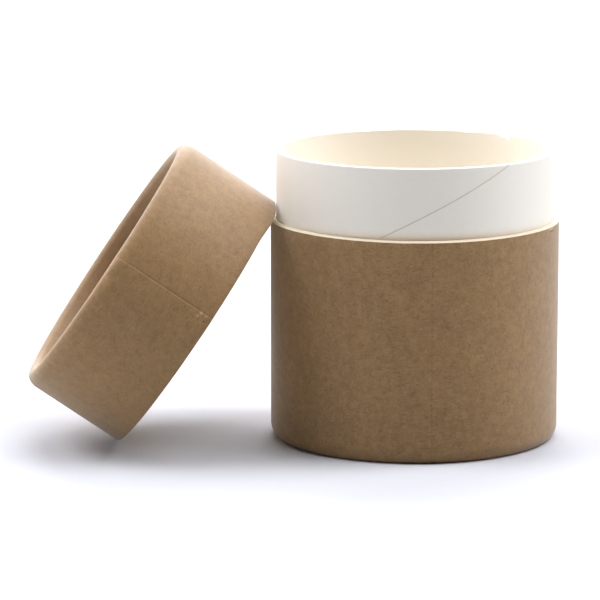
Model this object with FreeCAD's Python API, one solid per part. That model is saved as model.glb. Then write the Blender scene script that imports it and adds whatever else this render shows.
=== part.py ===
import FreeCAD, Part
import math
import os

# Kraft paper tube with a slip-over lid, in millimetres.
# The origin is the centre of the ring that the body stands on, and +Z runs up its axis.
# The lid is off: its open edge stands on the floor and leans on the body's neck.

# Outer tube of the body, board and kraft facing in one laminated wall
body_diameter = 90.0
rim_height = 69.0
body_wall = 1.7

# The kraft facing is closed by a straight lap seam, one layer of paper proud of the wall
facing_paper = 0.2
lap_width = 7.5
lap_ramp_width = 2.0
body_seam_angle = -85.2
lid_seam_angle = -104.0

# Inner tube that stands above the rim and guides the lid
neck_top = 90.5
neck_board = 1.5
glue_gap = 0.1
cut_bevel = 0.5

# Butt seam between the turns of the neck's white paper, a shallow helical groove
seam_turn_height = 138.7
seam_height_at_front = 75.2
front_angle = -90.0
seam_width = 0.4
seam_depth = 0.12

# Nicks in the neck's cut edge: angle where each starts, its width, and its depth at both ends
rim_nicks = [
    (63.8, 2.3, 0.2, 0.6),
    (41.8, 6.7, 0.9, 0.9),
    (109.5, 2.4, 0.35, 0.3),
]

# End that is curled inward: a wide shoulder, a tight nose, a flat land and a turn up to the leg
curl_shoulder_radius = 5.3
curl_nose_radius = 2.25
curl_shoulder_turn = 35.0
curl_land = 0.5
curl_inner_radius = 1.8
recess_depth = 4.5

# Every turn of the curl is pressed in a few short flats
shoulder_flat_count = 2
nose_flat_count = 2
inner_flat_count = 3

# Discs that close the two curled ends
disc_board = 1.5

# Lid
lid_wall = 1.3
lid_clearance = 0.1
lid_length = 34.5

# How the lid leans: its axis rises above the floor, turns toward the front and sits off centre
lid_rise = 34.0
lid_yaw = 0.4
lid_side_offset = -6.0
lean_gap = 0.2

# Sizes that follow from the ones above
body_radius = body_diameter / 2
neck_radius = body_radius - body_wall - glue_gap
neck_bore_radius = neck_radius - neck_board
disc_top = recess_depth + disc_board
lid_radius = neck_radius + lid_clearance + lid_wall

origin = FreeCAD.Vector(0, 0, 0)
upward = FreeCAD.Vector(0, 0, 1)


def point(radius, height):
    return FreeCAD.Vector(radius, 0, height)


def turn_points(centre, radius, start_angle, end_angle, flats):
    """Corners of the short flats that make one turn of the curl."""
    corners = []
    for step in range(flats + 1):
        angle = math.radians(start_angle + (end_angle - start_angle) * step / flats)
        reach = radius * math.cos(angle)
        rise = radius * math.sin(angle)
        corners.append(point(centre.x + reach, centre.z + rise))
    return corners


def curl_centres(tube_radius):
    """Centres of the curl's shoulder, nose and inner turn."""
    turn = math.radians(curl_shoulder_turn)
    reach = curl_shoulder_radius - curl_nose_radius
    shoulder = point(tube_radius - curl_shoulder_radius, curl_nose_radius + reach * math.sin(turn))
    nose = point(shoulder.x + reach * math.cos(turn), curl_nose_radius)
    inner = point(nose.x - curl_land, curl_inner_radius)
    return shoulder, nose, inner


def shoulder_line(tube_radius, height):
    """Outside of the wall from a height down to the curl's tight nose."""
    shoulder, _, _ = curl_centres(tube_radius)
    bend = turn_points(shoulder, curl_shoulder_radius, 0, -curl_shoulder_turn, shoulder_flat_count)
    return [point(tube_radius, height)] + bend


def spin(corners, sweep=360):
    """Solid of revolution about the tube's axis."""
    wire = Part.makePolygon(corners + corners[:1])
    return Part.Face(wire).revolve(origin, upward, sweep)


def bevel_cutter(radius, top):
    """Ring that takes the outer corner off a cut edge."""
    return spin([
        point(radius - cut_bevel, top),
        point(radius, top - cut_bevel),
        point(radius + cut_bevel, top),
    ])


def curled_tube(tube_radius, wall, height):
    """Tube whose lower end is curled inward and stops in a leg, with a hollow inside the curl."""
    shoulder, nose, inner = curl_centres(tube_radius)
    leg_radius = inner.x - curl_inner_radius
    outside = shoulder_line(tube_radius, height)
    outside += turn_points(nose, curl_nose_radius, -curl_shoulder_turn, -90, nose_flat_count)[1:]
    outside += turn_points(inner, curl_inner_radius, -90, -180, inner_flat_count)
    outside.append(point(leg_radius, recess_depth))
    inside = [
        point(leg_radius + wall, recess_depth),
        point(leg_radius + wall, wall),
        point(nose.x, wall),
        point(tube_radius - wall, shoulder.z),
        point(tube_radius - wall, height),
    ]
    return spin(outside + inside)


def on_tube(radius, angle):
    """Point at the foot of a tube, at an angle in radians about its axis."""
    return FreeCAD.Vector(radius * math.cos(angle), radius * math.sin(angle), 0)


def ramp_cutter(tube_radius, height):
    """Wedge that takes the far edge of the lap down to nothing."""
    outer_radius = tube_radius + facing_paper
    foot = on_tube(tube_radius, lap_width / tube_radius)
    crest = on_tube(outer_radius, (lap_width - lap_ramp_width) / tube_radius)
    slope = crest - foot
    outward = FreeCAD.Vector(outer_radius, 0, 0)
    corners = [
        crest + slope,
        foot - slope,
        foot - slope + outward,
        crest + slope + outward,
    ]
    outline = Part.makePolygon(corners + corners[:1])
    return Part.Face(outline).extrude(upward * height)


def lap(tube_radius, height, seam_angle, mirrored):
    """Second layer of the facing: a square edge at the seam and a ramp at the far side."""
    sweep = math.degrees(lap_width / tube_radius)
    outside = shoulder_line(tube_radius + facing_paper, height)
    inside = shoulder_line(tube_radius, height)
    strip = spin(outside + inside[::-1], sweep)
    strip = strip.cut(ramp_cutter(tube_radius, height))
    if mirrored:
        strip = strip.mirror(origin, FreeCAD.Vector(0, 1, 0))
    strip.rotate(origin, upward, seam_angle)
    return strip


def body_tube():
    tube = curled_tube(body_radius, body_wall, rim_height)
    tube = tube.cut(bevel_cutter(body_radius, rim_height))
    return tube.fuse(lap(body_radius, rim_height - cut_bevel, body_seam_angle, True))


def disc():
    """Board disc that lies on the end of the curl's leg and fills the tube."""
    return Part.makeCylinder(neck_radius, disc_board, FreeCAD.Vector(0, 0, recess_depth))


def spiral_seam():
    """Helical groove cutter that follows the outside of the neck and runs past both its ends."""
    start_height = disc_top - neck_board
    height = neck_top + neck_board - start_height
    helix = Part.makeHelix(seam_turn_height, height, neck_radius)
    along = FreeCAD.Vector(0, 2 * math.pi * neck_radius, seam_turn_height)
    along.normalize()
    across = along.cross(FreeCAD.Vector(1, 0, 0))
    start = FreeCAD.Vector(neck_radius, 0, 0)
    depth = FreeCAD.Vector(seam_depth, 0, 0)
    corners = [
        start + across * (seam_width / 2) + depth,
        start - depth,
        start - across * (seam_width / 2) + depth,
    ]
    profile = Part.makePolygon(corners + corners[:1])
    cutter = Part.Wire(helix.Edges).makePipeShell([profile], True, True)
    climbed = (seam_height_at_front - start_height) / seam_turn_height * 360
    cutter.translate(upward * start_height)
    cutter.rotate(origin, upward, front_angle - climbed)
    return cutter


def nick(angle, width, near_depth, far_depth):
    """Wedge of board missing from the neck's cut edge."""
    above = neck_top + cut_bevel
    corners = [
        FreeCAD.Vector(0, 0, above),
        FreeCAD.Vector(0, 0, neck_top - near_depth),
        FreeCAD.Vector(0, width, neck_top - far_depth),
        FreeCAD.Vector(0, width, above),
    ]
    outline = Part.makePolygon(corners + corners[:1])
    wedge = Part.Face(outline).extrude(FreeCAD.Vector(body_radius, 0, 0))
    wedge.rotate(origin, upward, angle)
    return wedge


def neck_tube():
    height = neck_top - disc_top
    foot = FreeCAD.Vector(0, 0, disc_top)
    tube = Part.makeCylinder(neck_radius, height, foot)
    tube = tube.cut(Part.makeCylinder(neck_bore_radius, height, foot))
    tube = tube.cut(bevel_cutter(neck_radius, neck_top))
    tube = tube.cut(spiral_seam())
    for angle, width, near_depth, far_depth in rim_nicks:
        tube = tube.cut(nick(angle, width, near_depth, far_depth))
    return tube


def lid_tube():
    tube = curled_tube(lid_radius, lid_wall, lid_length)
    return tube.fuse(lap(lid_radius, lid_length, lid_seam_angle, False))


def lean_placement():
    """Placement of the lid, modelled closed end down, with its open edge on floor and neck."""
    rise = math.radians(lid_rise)
    yaw = math.radians(lid_yaw)
    reach = neck_radius + lean_gap
    slides = []
    for degrees in range(-45, 46):
        turn = math.radians(degrees)
        up_part = lid_radius * math.cos(turn) * math.sin(rise)
        side_part = lid_radius * math.sin(turn)
        x = up_part * math.cos(yaw) - side_part * math.sin(yaw)
        y = lid_side_offset + up_part * math.sin(yaw) + side_part * math.cos(yaw)
        slides.append(-math.sqrt(reach**2 - y**2) - x)
    mouth = FreeCAD.Vector(min(slides), lid_side_offset, lid_radius * math.cos(rise))
    tip = FreeCAD.Rotation(FreeCAD.Vector(0, 1, 0), 90 + lid_rise)
    swing = FreeCAD.Rotation(upward, lid_yaw)
    turned = swing.multiply(tip)
    open_end = turned.multVec(upward * lid_length)
    return FreeCAD.Placement(mouth - open_end, turned)


def leaned(shape):
    placed = shape.copy()
    placed.Placement = lean_placement().multiply(placed.Placement)
    return placed


nodes = {
    "body_tube": body_tube(),
    "neck_tube": neck_tube(),
    "base_disc": disc(),
    "lid_tube": leaned(lid_tube()),
    "lid_disc": leaned(disc()),
}

os.makedirs("parts", exist_ok=True)
for name, shape in nodes.items():
    shape.exportStep("parts/" + name + ".step")
    print(name, len(shape.Solids), "solid", shape.isValid(), round(shape.Volume, 1))
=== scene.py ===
import bpy
import math
from mathutils import Matrix, Vector


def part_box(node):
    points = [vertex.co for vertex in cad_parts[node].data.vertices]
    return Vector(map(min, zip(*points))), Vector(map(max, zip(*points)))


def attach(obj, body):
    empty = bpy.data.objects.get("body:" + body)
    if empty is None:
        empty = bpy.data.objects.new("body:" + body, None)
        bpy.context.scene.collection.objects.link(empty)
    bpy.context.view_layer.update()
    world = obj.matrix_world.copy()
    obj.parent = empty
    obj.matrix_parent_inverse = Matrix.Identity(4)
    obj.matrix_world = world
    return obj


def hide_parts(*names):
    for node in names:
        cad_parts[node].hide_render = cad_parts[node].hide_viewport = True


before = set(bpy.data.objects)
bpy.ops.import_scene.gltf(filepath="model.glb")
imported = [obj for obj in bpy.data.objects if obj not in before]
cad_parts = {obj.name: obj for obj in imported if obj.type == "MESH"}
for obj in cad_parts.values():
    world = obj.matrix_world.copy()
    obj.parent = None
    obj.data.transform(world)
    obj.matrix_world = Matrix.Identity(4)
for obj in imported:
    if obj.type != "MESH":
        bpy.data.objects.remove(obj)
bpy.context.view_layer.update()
print("frame loaded")

mm = 0.001


# Node helpers

def joinTo(tree, value, socket):
    # a value is either a socket to link or a plain number, vector, colour or data block
    if isinstance(value, bpy.types.NodeSocket):
        tree.links.new(value, socket)
    else:
        socket.default_value = value


def addNode(tree, kind, inputs=None, **settings):
    node = tree.nodes.new(kind)
    for name, value in settings.items():
        setattr(node, name, value)
    for key, value in (inputs or {}).items():
        joinTo(tree, value, node.inputs[key])
    return node


def calc(tree, operation, *values):
    node = addNode(tree, "ShaderNodeMath", operation=operation)
    for socket, value in zip(node.inputs, values):
        joinTo(tree, value, socket)
    return node.outputs[0]


def product(tree, first, *others):
    for other in others:
        first = calc(tree, "MULTIPLY", first, other)
    return first


def calcVector(tree, operation, *values):
    node = addNode(tree, "ShaderNodeVectorMath", operation=operation)
    for socket, value in zip(node.inputs, values):
        joinTo(tree, value, socket)
    return node.outputs[0]


def dotted(tree, first, second):
    node = addNode(tree, "ShaderNodeVectorMath", {0: first, 1: second}, operation="DOT_PRODUCT")
    return node.outputs["Value"]


def scaled(tree, vector, factor):
    node = addNode(tree, "ShaderNodeVectorMath", {0: vector, "Scale": factor}, operation="SCALE")
    return node.outputs[0]


def packed(tree, x, y, z):
    return addNode(tree, "ShaderNodeCombineXYZ", {0: x, 1: y, 2: z}).outputs[0]


def split(tree, vector):
    return addNode(tree, "ShaderNodeSeparateXYZ", {0: vector}).outputs


def ranged(tree, value, fromLow, fromHigh, toLow=0.0, toHigh=1.0, kind="LINEAR"):
    ends = {0: value, 1: fromLow, 2: fromHigh, 3: toLow, 4: toHigh}
    return addNode(tree, "ShaderNodeMapRange", ends, interpolation_type=kind).outputs[0]


def nearTo(tree, value, target, full, none):
    # 1 within a distance from the target, falling to 0 at a wider one
    away = calc(tree, "ABSOLUTE", calc(tree, "SUBTRACT", value, target))
    return ranged(tree, away, full, none, 1.0, 0.0)


def newSockets(tree, inputs, outputs):
    # inputs and outputs are {name: (socket type, default value or None)}
    for direction, wanted in (("INPUT", inputs), ("OUTPUT", outputs)):
        for name, (kind, value) in wanted.items():
            socket = tree.interface.new_socket(name=name, in_out=direction, socket_type=kind)
            if value is not None:
                socket.default_value = value
    entry = tree.nodes.new("NodeGroupInput")
    leave = tree.nodes.new("NodeGroupOutput")
    return entry.outputs, leave.inputs


# Geometry trees

def readAttribute(tree, name, kind="FLOAT"):
    return addNode(tree, "GeometryNodeInputNamedAttribute", {"Name": name}, data_type=kind).outputs[0]


def storeAttribute(tree, shape, name, value, kind="FLOAT"):
    inputs = {"Geometry": shape, "Name": name}
    node = addNode(tree, "GeometryNodeStoreNamedAttribute", inputs, data_type=kind)
    joinTo(tree, value, node.inputs["Value"])
    return node.outputs[0]


def positionOf(tree):
    return addNode(tree, "GeometryNodeInputPosition").outputs[0]


def moved(tree, shape, offset):
    return addNode(tree, "GeometryNodeSetPosition", {"Geometry": shape, "Offset": offset}).outputs[0]


def noiseAt(tree, place, scale, detail=2.0):
    node = addNode(tree, "ShaderNodeTexNoise", {"Vector": place, "Scale": scale, "Detail": detail})
    return calc(tree, "SUBTRACT", node.outputs[0], 0.5)


def buildTurning():
    # Wraps a closed outline of points at (radius, 0, height) round the tube's axis.
    # Columns crowd together at the seam, and each point of the outline has its own twist.
    tree = bpy.data.node_groups.new("turnedTube", "GeometryNodeTree")
    given, made = newSockets(
        tree,
        {
            "Outline": ("NodeSocketGeometry", None),
            "Columns": ("NodeSocketInt", 720),
            "Seam Angle": ("NodeSocketFloat", 0.0),
            "Crowding": ("NodeSocketFloat", 0.9),
            "Weld": ("NodeSocketFloat", 0.0005 * mm),
        },
        {"Tube": ("NodeSocketGeometry", None)},
    )
    outline = given["Outline"]
    size = addNode(tree, "GeometryNodeAttributeDomainSize", {"Geometry": outline})
    rows = size.outputs["Point Count"]
    rowCount = calc(tree, "ADD", rows, 1.0)
    columnCount = calc(tree, "ADD", given["Columns"], 1.0)
    gridSize = {"Vertices X": columnCount, "Vertices Y": rowCount}
    shape = addNode(tree, "GeometryNodeMeshGrid", gridSize).outputs[0]
    index = addNode(tree, "GeometryNodeInputIndex").outputs[0]
    # a quarter keeps the division clear of a rounding step
    column = calc(tree, "FLOOR", calc(tree, "DIVIDE", calc(tree, "ADD", index, 0.25), rowCount))
    row = calc(tree, "SUBTRACT", index, product(tree, column, rowCount))
    pick = calc(tree, "ROUND", calc(tree, "FLOORED_MODULO", row, rows))
    share = calc(tree, "FLOORED_MODULO", calc(tree, "DIVIDE", column, given["Columns"]), 1.0)
    turn = product(tree, share, math.tau)
    around = calc(tree, "SUBTRACT", turn, product(tree, given["Crowding"], calc(tree, "SINE", turn)))
    pastHalf = calc(tree, "GREATER_THAN", around, math.pi)
    signed = calc(tree, "SUBTRACT", around, product(tree, pastHalf, math.tau))

    def sampled(value, kind="FLOAT"):
        inputs = {"Geometry": outline}
        node = addNode(tree, "GeometryNodeSampleIndex", inputs, data_type=kind, domain="POINT")
        joinTo(tree, value, node.inputs["Value"])
        joinTo(tree, pick, node.inputs["Index"])
        return node.outputs[0]

    place = split(tree, sampled(positionOf(tree), "FLOAT_VECTOR"))
    outward = split(tree, sampled(readAttribute(tree, "outward", "FLOAT_VECTOR"), "FLOAT_VECTOR"))
    twist = sampled(readAttribute(tree, "twist"))
    angle = calc(tree, "ADD", calc(tree, "ADD", given["Seam Angle"], around), twist)
    cosine = calc(tree, "COSINE", angle)
    sine = calc(tree, "SINE", angle)

    def wrapped(parts):
        return packed(tree, product(tree, parts[0], cosine), product(tree, parts[0], sine), parts[2])

    for name in ("skin", "paper", "rim"):
        shape = storeAttribute(tree, shape, name, sampled(readAttribute(tree, name)))
    shape = storeAttribute(tree, shape, "fromSeam", signed)
    shape = storeAttribute(tree, shape, "facing", wrapped(outward), "FLOAT_VECTOR")
    placed = {"Geometry": shape, "Position": wrapped(place)}
    shape = addNode(tree, "GeometryNodeSetPosition", placed).outputs[0]
    welded = {"Geometry": shape, "Distance": given["Weld"]}
    joinTo(tree, addNode(tree, "GeometryNodeMergeByDistance", welded).outputs[0], made["Tube"])
    return tree


def buildSurfaceWaves():
    # Slight unevenness of wound board: long waves on the wall and a rougher cut edge.
    tree = bpy.data.node_groups.new("boardUnevenness", "GeometryNodeTree")
    given, made = newSockets(
        tree,
        {
            "Tube": ("NodeSocketGeometry", None),
            "Wave": ("NodeSocketFloat", 0.03 * mm),
            "Wave Length": ("NodeSocketFloat", 14 * mm),
            "Fray": ("NodeSocketFloat", 0.04 * mm),
            "Fray Length": ("NodeSocketFloat", 0.9 * mm),
        },
        {"Tube": ("NodeSocketGeometry", None)},
    )
    place = positionOf(tree)
    long = noiseAt(tree, place, calc(tree, "DIVIDE", 1.0, given["Wave Length"]))
    short = noiseAt(tree, place, calc(tree, "DIVIDE", 1.0, given["Fray Length"]), 3.0)
    # both only ever go inward from the solid's own surface
    sunk = calc(tree, "SUBTRACT", long, 0.5)
    worn = calc(tree, "SUBTRACT", short, 1.0)
    wave = product(tree, sunk, given["Wave"], readAttribute(tree, "skin"))
    fray = product(tree, worn, given["Fray"], readAttribute(tree, "rim"))
    facing = readAttribute(tree, "facing", "FLOAT_VECTOR")
    offset = scaled(tree, facing, calc(tree, "ADD", wave, fray))
    joinTo(tree, moved(tree, given["Tube"], offset), made["Tube"])
    return tree


def unevenTube(tree, given, crowding):
    # the outline wrapped round the axis, with the board's unevenness
    turned = addNode(tree, "GeometryNodeGroup", {"Crowding": crowding}, node_tree=turning)
    for key in ("Outline", "Columns", "Seam Angle"):
        joinTo(tree, given[key], turned.inputs[key])
    uneven = addNode(tree, "GeometryNodeGroup", {"Tube": turned.outputs[0]}, node_tree=waves)
    return uneven.outputs[0]


def finishTree(tree, shape, made, place, material):
    # own place kept for the materials, sharp corners, the leaning place, and the finish
    shape = storeAttribute(tree, shape, "ownPlace", positionOf(tree), "FLOAT_VECTOR")
    shape = addNode(tree, "GeometryNodeSetShadeSmooth", {"Geometry": shape}).outputs[0]
    bend = addNode(tree, "GeometryNodeInputMeshEdgeAngle").outputs["Unsigned Angle"]
    corner = {0: bend, 1: math.radians(38)}
    sharp = addNode(tree, "FunctionNodeCompare", corner, operation="GREATER_THAN").outputs[0]
    flat = {"Geometry": shape, "Selection": sharp, "Shade Smooth": False}
    shape = addNode(tree, "GeometryNodeSetShadeSmooth", flat, domain="EDGE").outputs[0]
    location, rotation, _ = place.decompose()
    leaned = {"Geometry": shape, "Translation": location, "Rotation": rotation.to_euler()}
    shape = addNode(tree, "GeometryNodeTransform", leaned).outputs[0]
    shape = addNode(tree, "GeometryNodeRealizeInstances", {0: shape}).outputs[0]
    finished = {"Geometry": shape, "Material": material}
    joinTo(tree, addNode(tree, "GeometryNodeSetMaterial", finished).outputs[0], made["Tube"])


def buildLapTube(name, place, material):
    # A wound tube whose kraft facing laps over itself: an edge at the seam and a ramp at the far side.
    tree = bpy.data.node_groups.new(name + "Shape", "GeometryNodeTree")
    given, made = newSockets(
        tree,
        {
            "Outline": ("NodeSocketGeometry", None),
            "Seam Angle": ("NodeSocketFloat", 0.0),
            "Lap Side": ("NodeSocketFloat", 1.0),
            "Lap Width": ("NodeSocketFloat", 7.5 * mm),
            "Ramp Width": ("NodeSocketFloat", 2 * mm),
            "Paper": ("NodeSocketFloat", 0.2 * mm),
            "Radius": ("NodeSocketFloat", 45 * mm),
            "Edge Ramp": ("NodeSocketFloat", 0.6 * mm),
            "End": ("NodeSocketFloat", 69 * mm),
            "End Shift": ("NodeSocketFloat", 0.0),
            "Shift Angle": ("NodeSocketFloat", 0.0),
            "Shift Span": ("NodeSocketFloat", 1.0),
            "Shift Reach": ("NodeSocketFloat", 10 * mm),
            "Columns": ("NodeSocketInt", 720),
        },
        {"Tube": ("NodeSocketGeometry", None)},
    )
    shape = unevenTube(tree, given, 0.965)
    along = product(tree, readAttribute(tree, "fromSeam"), given["Lap Side"], given["Radius"])
    onLap = ranged(tree, along, 0.0, given["Edge Ramp"], kind="SMOOTHSTEP")
    left = calc(tree, "DIVIDE", calc(tree, "SUBTRACT", given["Lap Width"], along), given["Ramp Width"])
    ramp = calc(tree, "MINIMUM", calc(tree, "MAXIMUM", left, 0.0), 1.0)
    lift = product(tree, ramp, onLap, given["Paper"], readAttribute(tree, "skin"))
    shape = moved(tree, shape, scaled(tree, readAttribute(tree, "facing", "FLOAT_VECTOR"), lift))
    # the cut end is not quite square: it dips or rises over one span of the rim
    spot = split(tree, positionOf(tree))
    ray = calcVector(tree, "NORMALIZE", packed(tree, spot[0], spot[1], 0.0))
    toward = given["Shift Angle"]
    centre = packed(tree, calc(tree, "COSINE", toward), calc(tree, "SINE", toward), 0.0)
    apart = calc(tree, "ARCCOSINE", calc(tree, "MINIMUM", dotted(tree, ray, centre), 1.0))
    near = ranged(tree, apart, 0.0, given["Shift Span"], 1.0, 0.0, kind="SMOOTHSTEP")
    high = ranged(tree, spot[2], calc(tree, "SUBTRACT", given["End"], given["Shift Reach"]), given["End"])
    shift = product(tree, near, high, given["End Shift"])
    shape = moved(tree, shape, packed(tree, 0.0, 0.0, shift))
    finishTree(tree, shape, made, place, material)
    return tree


def buildNeckTube(nicks, material):
    # The inner tube: a helical butt seam in its white paper and nicks in its cut edge.
    tree = bpy.data.node_groups.new("neckShape", "GeometryNodeTree")
    given, made = newSockets(
        tree,
        {
            "Outline": ("NodeSocketGeometry", None),
            "Seam Angle": ("NodeSocketFloat", 0.0),
            "Seam Width": ("NodeSocketFloat", 0.4 * mm),
            "Seam Depth": ("NodeSocketFloat", 0.12 * mm),
            "Radius": ("NodeSocketFloat", 43 * mm),
            "Columns": ("NodeSocketInt", 1200),
            "Ragged Length": ("NodeSocketFloat", 0.5 * mm),
        },
        {"Tube": ("NodeSocketGeometry", None)},
    )
    shape = unevenTube(tree, given, 0.9)
    away = product(tree, calc(tree, "ABSOLUTE", readAttribute(tree, "fromSeam")), given["Radius"])
    groove = ranged(tree, away, 0.0, product(tree, given["Seam Width"], 0.5), 1.0, 0.0)
    sink = product(tree, groove, given["Seam Depth"], readAttribute(tree, "skin"), -1.0)
    shape = moved(tree, shape, scaled(tree, readAttribute(tree, "facing", "FLOAT_VECTOR"), sink))
    place = positionOf(tree)
    across = split(tree, place)
    angle = calc(tree, "ARCTAN2", across[1], across[0])
    ragged = noiseAt(tree, place, calc(tree, "DIVIDE", 1.0, given["Ragged Length"]), 3.0)
    drop = 0.0
    for nick in nicks:
        start = math.radians(nick["angle"])
        end = math.radians(nick["angle"] + nick["width"])
        edge = math.radians(nick["edge"])
        slope = ranged(tree, angle, start, end, nick["near"] * mm, nick["far"] * mm)
        entered = ranged(tree, angle, start - edge, start, kind="SMOOTHSTEP")
        unpassed = ranged(tree, angle, end, end + nick["fade"] * edge, 1.0, 0.0, kind="SMOOTHSTEP")
        rough = calc(tree, "MULTIPLY_ADD", ragged, nick["rough"], 1.0)
        drop = calc(tree, "ADD", drop, product(tree, slope, product(tree, entered, unpassed), rough))
    rim = readAttribute(tree, "rim")
    torn = product(tree, ranged(tree, drop, 0.05 * mm, 0.3 * mm), ranged(tree, rim, 0.55, 0.95))
    shape = storeAttribute(tree, shape, "torn", torn)
    shape = moved(tree, shape, packed(tree, 0.0, 0.0, product(tree, drop, rim, -1.0)))
    finishTree(tree, shape, made, Matrix.Identity(4), material)
    return tree


# Outlines

def arcPoints(centre, radius, startAngle, endAngle, steps):
    points = []
    for step in range(steps + 1):
        angle = math.radians(startAngle + (endAngle - startAngle) * step / steps)
        points.append((centre[0] + radius * math.cos(angle), centre[1] + radius * math.sin(angle)))
    return points


def linePoints(start, end, steps):
    return [
        (start[0] + (end[0] - start[0]) * step / steps, start[1] + (end[1] - start[1]) * step / steps)
        for step in range(steps + 1)
    ]


def outlineMesh(name, stretches):
    # stretches is a list of (points, {attribute: start and end value}) that follow each other
    points = []
    values = {"skin": [], "paper": [], "rim": [], "twist": []}
    for stretch, marks in stretches:
        count = len(stretch)
        for number, point in enumerate(stretch):
            points.append(point)
            for key, column in values.items():
                low, high = marks.get(key, (0.0, 0.0))
                column.append(low + (high - low) * number / max(count - 1, 1))
    total = len(points)
    mesh = bpy.data.meshes.new(name + "Outline")
    mesh.from_pydata([(r, 0.0, z) for r, z in points], [(i, (i + 1) % total) for i in range(total)], [])
    for key, column in values.items():
        mesh.attributes.new(key, "FLOAT", "POINT").data.foreach_set("value", column)
    facing = []
    for number in range(total):
        before = points[number - 1]
        after = points[(number + 1) % total]
        along = Vector((after[0] - before[0], after[1] - before[1])).normalized()
        facing += [along.y, 0.0, -along.x]
    mesh.attributes.new("outward", "FLOAT_VECTOR", "POINT").data.foreach_set("vector", facing)
    return mesh


def shaped(name, outline, tree, inputs):
    # runs the tree on the outline and keeps its result as a plain mesh
    base = bpy.data.objects.new(name + "Base", outline)
    bpy.context.scene.collection.objects.link(base)
    modifier = base.modifiers.new("shape", "NODES")
    modifier.node_group = tree
    for item in tree.interface.items_tree:
        if item.item_type == "SOCKET" and item.in_out == "INPUT" and item.name in inputs:
            modifier[item.identifier] = inputs[item.name]
    ready = base.evaluated_get(bpy.context.evaluated_depsgraph_get())
    mesh = bpy.data.meshes.new_from_object(ready)
    mesh.name = name
    base.modifiers.remove(modifier)
    bpy.data.objects.remove(base)
    piece = bpy.data.objects.new(name, mesh)
    bpy.context.scene.collection.objects.link(piece)
    return piece


# Materials

def newMaterial(name, roughness, specular, sheen=0.0):
    material = bpy.data.materials.new(name)
    material.use_nodes = True
    tree = material.node_tree
    shader = tree.nodes["Principled BSDF"]
    shader.inputs["Roughness"].default_value = roughness
    shader.inputs["Specular IOR Level"].default_value = specular
    shader.inputs["Sheen Weight"].default_value = sheen
    return material, tree, shader


def mixColour(tree, factor, first, second, blend="MIX"):
    node = addNode(tree, "ShaderNodeMix", data_type="RGBA", blend_type=blend)
    joinTo(tree, factor, node.inputs[0])
    joinTo(tree, first, node.inputs[6])
    joinTo(tree, second, node.inputs[7])
    return node.outputs[2]


def pieceValue(tree, name):
    return addNode(tree, "ShaderNodeAttribute", attribute_name=name).outputs["Fac"]


def ownPlace(tree):
    return addNode(tree, "ShaderNodeAttribute", attribute_name="ownPlace").outputs["Vector"]


def finishPaper(tree, shader, colour, grain, strength, depth):
    joinTo(tree, colour, shader.inputs["Base Color"])
    inputs = {"Strength": strength, "Distance": depth, "Height": grain}
    joinTo(tree, addNode(tree, "ShaderNodeBump", inputs).outputs[0], shader.inputs["Normal"])


def fromSrgb(red, green, blue):
    # colours are written as they look on screen, 0 to 255
    linear = []
    for value in (red, green, blue):
        share = value / 255
        linear.append(share / 12.92 if share <= 0.04045 else ((share + 0.055) / 1.055) ** 2.4)
    return (*linear, 1.0)


def buildPulp():
    # Mottled pulp, short fibres and specks of unbleached paper, as masks in a place given in metres.
    tree = bpy.data.node_groups.new("paperPulp", "ShaderNodeTree")
    masks = ("Blotch", "Cloud", "Grain", "Dark Fibre", "Pale Fibre", "Speck")
    given, made = newSockets(
        tree,
        {
            "Place": ("NodeSocketVector", None),
            "Blotch Size": ("NodeSocketFloat", 9 * mm),
            "Cloud Size": ("NodeSocketFloat", 2.4 * mm),
            "Grain Size": ("NodeSocketFloat", 0.5 * mm),
            "Fibre Size": ("NodeSocketFloat", 0.55 * mm),
            "Speck Size": ("NodeSocketFloat", 3.2 * mm),
        },
        {mask: ("NodeSocketFloat", None) for mask in masks},
    )
    place = given["Place"]

    def noise(spot, size, detail, roughness=0.5):
        scale = calc(tree, "DIVIDE", 1.0, size)
        values = {"Vector": spot, "Scale": scale, "Detail": detail, "Roughness": roughness}
        return addNode(tree, "ShaderNodeTexNoise", values).outputs[0]

    def fibres(turns, threshold, shift):
        # noise squeezed across three directions leaves short strokes where it is high
        found = 0.0
        for number, turn in enumerate(turns):
            spot = calcVector(tree, "ADD", place, (shift, shift * 0.7, number * 0.11))
            squeeze = {"Vector": spot, "Rotation": turn, "Scale": (0.22, 1.0, 1.0)}
            stretched = addNode(tree, "ShaderNodeMapping", squeeze).outputs[0]
            strokes = noise(stretched, given["Fibre Size"], 1.0)
            high = ranged(tree, strokes, threshold, threshold + 0.08)
            found = calc(tree, "MAXIMUM", found, high)
        return found

    joinTo(tree, noise(place, given["Blotch Size"], 1.0), made["Blotch"])
    joinTo(tree, noise(place, given["Cloud Size"], 5.0, 0.8), made["Cloud"])
    joinTo(tree, noise(place, given["Grain Size"], 2.0, 0.7), made["Grain"])
    darkTurns = [(0.0, 0.0, 0.0), (0.0, 0.6, 0.2), (0.0, -0.9, 1.2)]
    paleTurns = [(0.0, 0.3, 0.5), (0.0, -0.4, 0.0), (0.0, 1.1, 1.5)]
    joinTo(tree, fibres(darkTurns, 0.66, 0.31), made["Dark Fibre"])
    joinTo(tree, fibres(paleTurns, 0.67, 0.77), made["Pale Fibre"])
    # one speck in each of the larger cells, of its own size
    spread = {"Vector": place, "Scale": calc(tree, "DIVIDE", 1.0, given["Speck Size"])}
    cells = addNode(tree, "ShaderNodeTexVoronoi", spread).outputs
    size = ranged(tree, split(tree, cells["Color"])[0], 0.45, 1.0, 0.0, 0.11)
    speck = calc(tree, "SUBTRACT", size, cells["Distance"])
    joinTo(tree, ranged(tree, speck, 0.0, 0.025), made["Speck"])
    return tree


def pulpMasks(tree, place):
    return addNode(tree, "ShaderNodeGroup", {"Place": place}, node_tree=pulp).outputs


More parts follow.
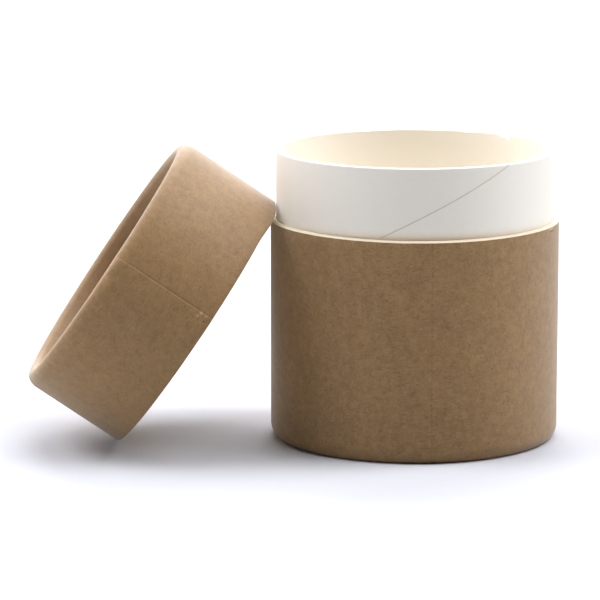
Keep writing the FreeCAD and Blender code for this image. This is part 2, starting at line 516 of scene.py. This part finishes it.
kraftLook = {
    "dark": fromSrgb(134, 101, 63),
    "pale": fromSrgb(164, 129, 84),
    "Dark Fibre": (0.35, fromSrgb(98, 72, 45)),
    "Pale Fibre": (0.2, fromSrgb(188, 164, 128)),
    "Speck": (0.45, fromSrgb(74, 52, 33)),
    # a pale tone for torn paper, also used as a painted highlight
    "paleTearAndHighlight": fromSrgb(205, 180, 145),
    # a dark tone for the lap's glue line and for specks, also used as painted shade
    "shadeAndDarkMark": fromSrgb(82, 60, 38),
    # painted light: the pale tone mixed onto the curl's inner leg
    "stretched": fromSrgb(232, 214, 192),
    "board": fromSrgb(236, 223, 198),
    "cloudSpan": 0.2,
    "grain": 0.08,
    "blotch": 0.03,
    "roughness": 0.6,
    "specular": 0.5,
    "sheen": 0.3,
    "bump": (0.35, 0.02 * mm),
}


def kraftMaterial(name, offset, values, radius):
    look = kraftLook
    material, tree, shader = newMaterial(name, look["roughness"], look["specular"], look["sheen"])
    own = ownPlace(tree)
    spot = split(tree, own)
    out = pulpMasks(tree, calcVector(tree, "ADD", own, offset))
    contrast = values["contrast"]
    span = look["cloudSpan"] / contrast
    colour = mixColour(tree, ranged(tree, out["Cloud"], 0.5 - span, 0.5 + span), look["dark"], look["pale"])
    depth = look["grain"] * contrast
    grain = ranged(tree, out["Grain"], 0.25, 0.75, -depth, depth)
    blotch = ranged(tree, out["Blotch"], 0.3, 0.7, -look["blotch"], look["blotch"])
    shade = calc(tree, "ADD", 1.0, calc(tree, "ADD", grain, blotch))
    colour = mixColour(tree, 1.0, colour, packed(tree, shade, shade, shade), "MULTIPLY")
    for mark in ("Dark Fibre", "Pale Fibre", "Speck"):
        amount, ink = look[mark]
        colour = mixColour(tree, product(tree, out[mark], amount * contrast), colour, ink)
    # painted light: the curl's inner leg, the wall of the recess, is mixed toward a pale tone that stands
    # in for light falling on it
    flat = calc(tree, "ADD", product(tree, spot[0], spot[0]), product(tree, spot[1], spot[1]))
    inward = calc(tree, "SQRT", flat)
    pale = ranged(tree, inward, radius - 5.4 * mm, radius - 4.2 * mm, values["curlPaintedLight"], 0.0)
    colour = mixColour(tree, pale, colour, look["stretched"])
    # a dark line at the lap's foot, partly a glue line and partly painted shade beneath the lap's step,
    # which fades toward the curl and is broken by the grain
    along = product(tree, pieceValue(tree, "fromSeam"), radius * values["lapSide"])
    shadeAndDarkMark = nearTo(tree, along, -0.15 * mm, 0.1 * mm, 0.45 * mm)
    fading = ranged(tree, spot[2], 5 * mm, 12 * mm, 0.15, 1.0)
    broken = ranged(tree, out["Grain"], 0.3, 0.65, 1.25, 0.6)
    shadeAndDarkMark = product(tree, shadeAndDarkMark, fading, broken, values["lapJointAndShade"])
    colour = mixColour(tree, shadeAndDarkMark, colour, look["shadeAndDarkMark"])
    # marks of wear, some of them painted highlight and painted shade, each a ragged spot of one tone
    for markAlong, markHeight, halfWide, halfHigh, ink, amount in values["wearAndShade"]:
        wide = calc(tree, "DIVIDE", calc(tree, "SUBTRACT", along, markAlong * mm), halfWide * mm)
        high = calc(tree, "DIVIDE", calc(tree, "SUBTRACT", spot[2], markHeight * mm), halfHigh * mm)
        square = calc(tree, "ADD", product(tree, wide, wide), product(tree, high, high))
        ragged = calc(tree, "SUBTRACT", out["Grain"], 0.5)
        reach = calc(tree, "ADD", calc(tree, "SQRT", square), ragged)
        colour = mixColour(tree, ranged(tree, reach, 0.5, 1.3, amount, 0.0), colour, look[ink])
    # bare board at the cut end and inside
    colour = mixColour(tree, ranged(tree, pieceValue(tree, "paper"), 0.45, 0.55), look["board"], colour)
    finishPaper(tree, shader, colour, out["Grain"], *look["bump"])
    return material


whiteLook = {
    "outside": (fromSrgb(243, 239, 233), fromSrgb(246, 242, 237)),
    "inside": (fromSrgb(252, 245, 233), fromSrgb(253, 246, 235)),
    "warm": (0.82, 0.74, 0.61, 1.0),
    "warmFrom": 0.3 * mm,
    "warmTo": 2.6 * mm,
    "halo": (0.2 * mm, 0.9 * mm, 0.35, fromSrgb(226, 214, 192)),
    "seam": (0.05 * mm, 0.22 * mm, 0.75, fromSrgb(170, 140, 104)),
    "torn": (0.5, fromSrgb(222, 200, 170)),
    "roughness": 0.6,
    "specular": 0.5,
    "sheen": 0.3,
    "bump": (0.2, 0.01 * mm),
}


def whiteMaterial():
    look = whiteLook
    material, tree, shader = newMaterial("whitePaper", look["roughness"], look["specular"], look["sheen"])
    own = ownPlace(tree)
    spot = split(tree, own)
    out = pulpMasks(tree, own)
    tone = ranged(tree, out["Cloud"], 0.3, 0.7)
    skin = pieceValue(tree, "skin")
    colour = mixColour(tree, tone, *look["outside"])
    # the cut board of the rim below throws a warm light on the front
    near = ranged(tree, spot[2], rimHeight + look["warmFrom"], rimHeight + look["warmTo"], 1.0, 0.0)
    front = ranged(tree, spot[1], 0.0, -neckRadius)
    glow = product(tree, near, near, front, front, skin)
    colour = mixColour(tree, glow, colour, look["warm"], "MULTIPLY")
    inner = mixColour(tree, tone, *look["inside"])
    colour = mixColour(tree, ranged(tree, skin, 0.0, 0.5), inner, colour)
    # the helical butt seam: a soft halo and a thin line
    away = product(tree, calc(tree, "ABSOLUTE", pieceValue(tree, "fromSeam")), neckRadius)
    for part, kind in (("halo", "SMOOTHSTEP"), ("seam", "LINEAR")):
        full, none, amount, ink = look[part]
        mark = ranged(tree, away, full, none, amount, 0.0, kind=kind)
        colour = mixColour(tree, product(tree, mark, skin), colour, ink)
    amount, ink = look["torn"]
    colour = mixColour(tree, product(tree, pieceValue(tree, "torn"), amount), colour, ink)
    finishPaper(tree, shader, colour, out["Grain"], *look["bump"])
    return material


discLook = {
    "roughness": 0.75,
    "specular": 0.3,
    "bump": (0.3, 0.02 * mm),
    "bodyLining": fromSrgb(243, 240, 232),
    "lidLining": kraftLook["board"],
}


def discMaterial(name, middle, inward, lining):
    # kraft outside and a pale lining inside; the discs keep their solids, so this reads Object coordinates
    material, tree, shader = newMaterial(name, discLook["roughness"], discLook["specular"])
    place = addNode(tree, "ShaderNodeTexCoord").outputs["Object"]
    out = pulpMasks(tree, place)
    tone = ranged(tree, out["Cloud"], 0.3, 0.7)
    colour = mixColour(tree, tone, kraftLook["dark"], kraftLook["pale"])
    depth = dotted(tree, calcVector(tree, "SUBTRACT", place, middle), inward)
    lined = calc(tree, "GREATER_THAN", depth, curl["disc"] * 0.45)
    colour = mixColour(tree, lined, colour, lining)
    finishPaper(tree, shader, colour, out["Grain"], *discLook["bump"])
    return material


turning = buildTurning()
waves = buildSurfaceWaves()
pulp = buildPulp()
print("node groups built")

# Sizes read from the frame
bodyLow, bodyHigh = (Vector(corner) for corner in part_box("body_tube"))
neckLow, neckHigh = (Vector(corner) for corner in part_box("neck_tube"))
baseDiscLow, baseDiscHigh = (Vector(corner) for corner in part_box("base_disc"))
lidDiscLow, lidDiscHigh = (Vector(corner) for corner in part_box("lid_disc"))
bodyRadius = bodyHigh.x
rimHeight = bodyHigh.z
neckRadius = neckHigh.x
baseMiddle = (baseDiscLow + baseDiscHigh) / 2
lidMiddle = (lidDiscLow + lidDiscHigh) / 2

# End that is curled inward, alike on the body and the lid
curl = {
    "shoulder": 5.3 * mm,
    "nose": 2.25 * mm,
    "shoulderTurn": 35.0,
    "land": 0.5 * mm,
    "inner": 1.8 * mm,
    "recess": 4.5 * mm,
    "disc": 1.5 * mm,
    "roundRows": 8,
    "noseRows": 10,
    "bareRows": 4,
    "insideRows": 12,
    "cutEdge": 0.06 * mm,
}


def curledOutline(name, values, radius, height):
    wall = values["wall"]
    turn = math.radians(curl["shoulderTurn"])
    reach = curl["shoulder"] - curl["nose"]
    shoulder = (radius - curl["shoulder"], curl["nose"] + reach * math.sin(turn))
    nose = (shoulder[0] + reach * math.cos(turn), curl["nose"])
    inner = (nose[0] - curl["land"], curl["inner"])
    leg = inner[0] - curl["inner"]
    edge = curl["cutEdge"]
    rounded = values["rounded"]
    bevel = values["bevel"]
    drop = max(bevel, rounded)
    kraft = {"paper": (1.0, 1.0)}
    innerTurn = arcPoints(inner, curl["inner"], -180, -90, curl["roundRows"])
    noseTurn = arcPoints(nose, curl["nose"], -90, -curl["shoulderTurn"], curl["noseRows"])
    shoulderTurn = arcPoints(shoulder, curl["shoulder"], -curl["shoulderTurn"], 0, curl["roundRows"])
    outside = linePoints((radius, shoulder[1]), (radius, height - drop - edge), values["wallRows"])
    stretches = [
        (innerTurn, kraft),
        (noseTurn[:4], kraft),
        (noseTurn[4:], {**kraft, "skin": (0.1, 0.9)}),
        (shoulderTurn[1:], {**kraft, "skin": (0.95, 1.0)}),
        (outside[1:], {**kraft, "skin": (1.0, 1.0)}),
    ]
    if rounded:
        corner = arcPoints((radius - rounded, height - rounded), rounded, 0, 90, 6)
        stretches.append((corner, {**kraft, "skin": (1.0, 0.2), "rim": (0.4, 1.0)}))
    else:
        stretches.append(([(radius, height - bevel)], {**kraft, "skin": (1.0, 1.0), "rim": (0.4, 0.4)}))
        low = (radius - 0.02 * mm, height - bevel + 0.01 * mm)
        stretches.append((linePoints(low, (radius - bevel, height), curl["bareRows"]), {"rim": (0.6, 1.0)}))
    top = linePoints((radius - drop, height), (radius - wall + edge, height), curl["bareRows"])
    insideTop = (radius - wall, height - edge)
    inside = linePoints(insideTop, (radius - wall, shoulder[1]), curl["insideRows"])
    stretches += [
        (top[1:], {"rim": (1.0, 1.0)}),
        ([insideTop], {"rim": (0.3, 0.3)}),
        (inside[1:], {}),
        ([(nose[0], wall), (leg + wall, wall)], {}),
        ([(leg + wall, curl["recess"]), (leg + edge, curl["recess"])], {}),
        ([(leg, curl["recess"] - edge)], kraft),
    ]
    return outlineMesh(name, stretches)


def lapInputs(values, radius, end):
    return {
        "Seam Angle": math.radians(values["seamAngle"]),
        "Lap Side": values["lapSide"],
        "Lap Width": values["lapWidth"],
        "Ramp Width": values["rampWidth"],
        "Paper": values["paper"],
        "Radius": radius,
        "End": end,
        "End Shift": values["endShift"],
        "Shift Angle": math.radians(values["shiftAngle"]),
        "Shift Span": math.radians(values["shiftSpan"]),
        "Shift Reach": values["shiftReach"],
        "Columns": values["columns"],
    }


# Body tube
body = {
    "wall": 1.7 * mm,
    "bevel": 0.5 * mm,
    "rounded": 0.0,
    "seamAngle": -85.2,
    "lapSide": -1.0,
    "lapWidth": 7.5 * mm,
    "rampWidth": 2 * mm,
    "paper": 0.09 * mm,
    "endShift": -0.33 * mm,
    "shiftAngle": -87.0,
    "shiftSpan": 62.0,
    "shiftReach": 20 * mm,
    "columns": 720,
    "wallRows": 24,
    "contrast": 1.1,
    "lapJointAndShade": 0.12,
    "curlPaintedLight": 0.25,
    # marks: distance from the seam, height, half width and half height in mm, colour, strength
    "wearAndShade": [
        # a lifted fray at the rim: pale torn paper with a painted highlight on its top, and a painted
        # shadow beneath it
        (-49.0, 68.0, 2.1, 0.35, "paleTearAndHighlight", 0.7),
        (-49.3, 67.3, 1.9, 0.3, "shadeAndDarkMark", 0.8),
    ],
}

bodyKraft = kraftMaterial("bodyKraft", (0.0, 0.0, 0.0), body, bodyRadius)
bodyOutline = curledOutline("body", body, bodyRadius, rimHeight)
bodyTree = buildLapTube("body", Matrix.Identity(4), bodyKraft)
bodyPiece = shaped("kraft_body", bodyOutline, bodyTree, lapInputs(body, bodyRadius, rimHeight))
print("body tube", len(bodyPiece.data.polygons))

# Lid tube
lid = {
    "wall": 1.3 * mm,
    "bevel": 0.0,
    "rounded": 0.45 * mm,
    "length": 34.5 * mm,
    "radius": 44.6 * mm,
    "rise": 34.0,
    "yaw": 0.4,
    "seamAngle": -104.0,
    "lapSide": 1.0,
    "lapWidth": 7.5 * mm,
    "rampWidth": 2 * mm,
    "paper": 0.12 * mm,
    "endShift": 0.95 * mm,
    "shiftAngle": 198.0,
    "shiftSpan": 21.0,
    "shiftReach": 6 * mm,
    "columns": 720,
    "wallRows": 12,
    "contrast": 0.9,
    "lapJointAndShade": 0.35,
    "curlPaintedLight": 0.25,
    "patternShift": (0.31, 0.17, 0.05),
    "wearAndShade": [
        (1.7, 30.0, 0.5, 0.45, "paleTearAndHighlight", 0.4),
        (0.5, 30.5, 0.55, 0.55, "paleTearAndHighlight", 0.5),
        (0.6, 32.3, 0.5, 0.45, "paleTearAndHighlight", 0.3),
        (2.2, 32.5, 0.35, 0.4, "shadeAndDarkMark", 0.8),
    ],
}

# the lid leans: its axis rises above the floor and turns a little toward the front
lidRise = Matrix.Rotation(math.radians(90 + lid["rise"]), 4, "Y")
lidTurn = Matrix.Rotation(math.radians(lid["yaw"]), 4, "Z") @ lidRise
discHeight = curl["recess"] + curl["disc"] / 2
lidPlace = Matrix.Translation(lidMiddle) @ lidTurn @ Matrix.Translation((0, 0, -discHeight))
lidKraft = kraftMaterial("lidKraft", lid["patternShift"], lid, lid["radius"])
lidOutline = curledOutline("lid", lid, lid["radius"], lid["length"])
lidTree = buildLapTube("lid", lidPlace, lidKraft)
lidPiece = shaped("kraft_lid", lidOutline, lidTree, lapInputs(lid, lid["radius"], lid["length"]))
print("lid tube", len(lidPiece.data.polygons))

# Neck tube
neck = {
    "wall": 1.5 * mm,
    "bevel": 0.27 * mm,
    "fullness": 0.12 * mm,
    "fullFrom": 0.8 * mm,
    "seamTurn": 138.7 * mm,
    "seamAtFront": 75.2 * mm,
    "seamWidth": 0.4 * mm,
    "seamDepth": 0.12 * mm,
    "hiddenBelow": 66 * mm,
    "topBand": 1.5 * mm,
    "cutEdge": 0.06 * mm,
    "columns": 1200,
}

# Nicks in the cut edge: where each starts and its width in degrees, its depth at both ends in mm,
# the width of its ends in degrees, how long the far end fades, and its raggedness
nicks = [
    {"angle": 62.6, "width": 3.4, "near": 0.05, "far": 0.45, "edge": 0.35, "fade": 1.0, "rough": 0.9},
    {"angle": 41.8, "width": 6.7, "near": 1.15, "far": 0.65, "edge": 0.4, "fade": 1.0, "rough": 0.7},
    {"angle": 109.5, "width": 2.4, "near": 0.3, "far": 0.25, "edge": 0.6, "fade": 1.5, "rough": 0.9},
]


def neckOutline():
    low = neckLow.z
    top = neckHigh.z
    hidden = neck["hiddenBelow"]
    perHeight = math.tau / neck["seamTurn"]
    full = (top - hidden) * perHeight
    edge = neck["cutEdge"]
    bevelFoot = top - neck["bevel"]
    bandFoot = bevelFoot - neck["topBand"]
    inside = neckRadius - neck["wall"]
    fullRadius = neckRadius + neck["fullness"]
    topOuter = (fullRadius - neck["bevel"], top)
    skin = {"skin": (1.0, 1.0)}

    def twistAt(height):
        return -(top - max(height, hidden)) * perHeight

    def fuller(height):
        above = min(max((height - rimHeight) / neck["fullFrom"], 0.0), 1.0)
        return (neckRadius + neck["fullness"] * above, height)

    wall = [fuller(height) for _, height in linePoints((0.0, hidden), (0.0, bandFoot), 22)]
    foot = linePoints((neckRadius, low), (neckRadius, hidden), 6)
    wallTwist = (twistAt(hidden + 1.02 * mm), twistAt(bandFoot))
    nearTop = bevelFoot - 0.5 * mm
    bevel = linePoints((fullRadius - 0.03 * mm, bevelFoot + 0.1 * mm), topOuter, 4)
    bore = linePoints((inside, top - 0.7 * mm), (inside, low), 28)
    stretches = [
        (foot, {**skin, "twist": (-full, -full)}),
        (wall[1:], {**skin, "twist": wallTwist}),
        ([(fullRadius, nearTop)], {**skin, "twist": (twistAt(nearTop),) * 2, "rim": (0.5, 0.5)}),
        ([(fullRadius, bevelFoot)], {**skin, "twist": (twistAt(bevelFoot),) * 2, "rim": (0.95, 0.95)}),
        (bevel, {"skin": (0.8, 0.0), "rim": (1.0, 1.0)}),
        (linePoints(topOuter, (inside + edge, top), 4)[1:], {"rim": (1.0, 1.0)}),
        ([(inside, top - edge)], {"rim": (1.0, 1.0)}),
        (bore, {"rim": (0.5, 0.0), "twist": (0.0, -full)}),
    ]
    return outlineMesh("neck", stretches)


# the height at the front fixes where the helical seam meets the top
topAngle = -90 + (neckHigh.z - neck["seamAtFront"]) / neck["seamTurn"] * 360
neckInputs = {
    "Seam Angle": math.radians(topAngle),
    "Seam Width": neck["seamWidth"],
    "Seam Depth": neck["seamDepth"],
    "Radius": neckRadius,
    "Columns": neck["columns"],
}
whitePaper = whiteMaterial()
neckTree = buildNeckTube(nicks, whitePaper)
neckPiece = shaped("white_neck", neckOutline(), neckTree, neckInputs)
print("neck tube", len(neckPiece.data.polygons))

for piece, node, slot in (
    (bodyPiece, "body_tube", "kraft_board"),
    (lidPiece, "lid_tube", "kraft_board"),
    (neckPiece, "neck_tube", "white_board"),
):
    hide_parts(node)
    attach(piece, "root")

# Discs
lidInward = lidTurn.to_3x3() @ Vector((0, 0, 1))
discs = {
    "base_disc": discMaterial("baseBoard", baseMiddle, Vector((0, 0, 1)), discLook["bodyLining"]),
    "lid_disc": discMaterial("lidBoard", lidMiddle, lidInward, discLook["lidLining"]),
}
for node, material in discs.items():
    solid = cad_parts[node]
    solid.data.materials.clear()
    solid.data.materials.append(material)
print("discs finished")

# Floor
floorLook = {
    "seen": (0.6, 0.61, 0.668, 1.0),
    "bounce": (0.5, 0.5, 0.5, 1.0),
    "roughness": 0.9,
    "half": 6.0,
}


def paleFloor():
    # the camera sees a pale floor, and it throws less light back on the pieces than that colour would
    material, tree, shader = newMaterial("paleFloor", floorLook["roughness"], 0.0)
    seen = addNode(tree, "ShaderNodeLightPath").outputs["Is Camera Ray"]
    colour = mixColour(tree, seen, floorLook["bounce"], floorLook["seen"])
    joinTo(tree, colour, shader.inputs["Base Color"])
    mesh = bpy.data.meshes.new("floor")
    half = floorLook["half"]
    corners = [(-half, -half, 0), (half, -half, 0), (half, half, 0), (-half, half, 0)]
    mesh.from_pydata(corners, [], [(0, 1, 2, 3)])
    mesh.materials.append(material)
    floor = bpy.data.objects.new("floor", mesh)
    bpy.context.scene.collection.objects.link(floor)


paleFloor()

# Soft lamps round the back and overhead: azimuth from +X toward +Y, height above the floor, strength
studio = {
    "softness": 30.0,
    "lamps": [
        (90, 10, 1.17), (115, 10, 0.59), (180, 10, 0.81),
        (20, 32, 1.15), (65, 32, 0.54), (90, 32, 0.77), (140, 32, 1.22),
        (-30, 58, 0.65), (0, 58, 1.2), (90, 58, 0.91), (180, 58, 1.4),
        (90, 88, 0.82),
    ],
    "air": 0.03,
}


def addLamp(name, azimuth, height, strength):
    data = bpy.data.lights.new(name, "SUN")
    data.angle = math.radians(studio["softness"])
    data.energy = strength
    lamp = bpy.data.objects.new(name, data)
    bpy.context.scene.collection.objects.link(lamp)
    side = math.radians(azimuth)
    rise = math.radians(height)
    away = Vector((math.cos(rise) * math.cos(side), math.cos(rise) * math.sin(side), math.sin(rise)))
    lamp.rotation_euler = away.to_track_quat("Z", "Y").to_euler()


for number, lamp in enumerate(studio["lamps"]):
    addLamp("lamp" + str(number), *lamp)

world = bpy.data.worlds.new("studioAir")
world.use_nodes = True
world.node_tree.nodes["Background"].inputs["Color"].default_value = (1.0, 1.0, 1.0, 1.0)
world.node_tree.nodes["Background"].inputs["Strength"].default_value = studio["air"]
bpy.context.scene.world = world
bpy.context.scene.view_settings.view_transform = "Standard"
print("studio lit")

# Camera at the photo's viewing angle
camera = {
    "place": (-0.03582, -1.07579, 0.24582),
    "pitch": 10.705,
    "lens": 209.48,
    "sensor": 36.0,
    "clipStart": 0.01,
}
cameraData = bpy.data.cameras.new("viewpoint")
cameraData.lens = camera["lens"]
cameraData.sensor_width = camera["sensor"]
cameraData.clip_start = camera["clipStart"]
viewpoint = bpy.data.objects.new("viewpoint", cameraData)
viewpoint.location = camera["place"]
viewpoint.rotation_euler = (math.radians(90 - camera["pitch"]), 0.0, 0.0)
bpy.context.scene.collection.objects.link(viewpoint)
bpy.context.scene.camera = viewpoint
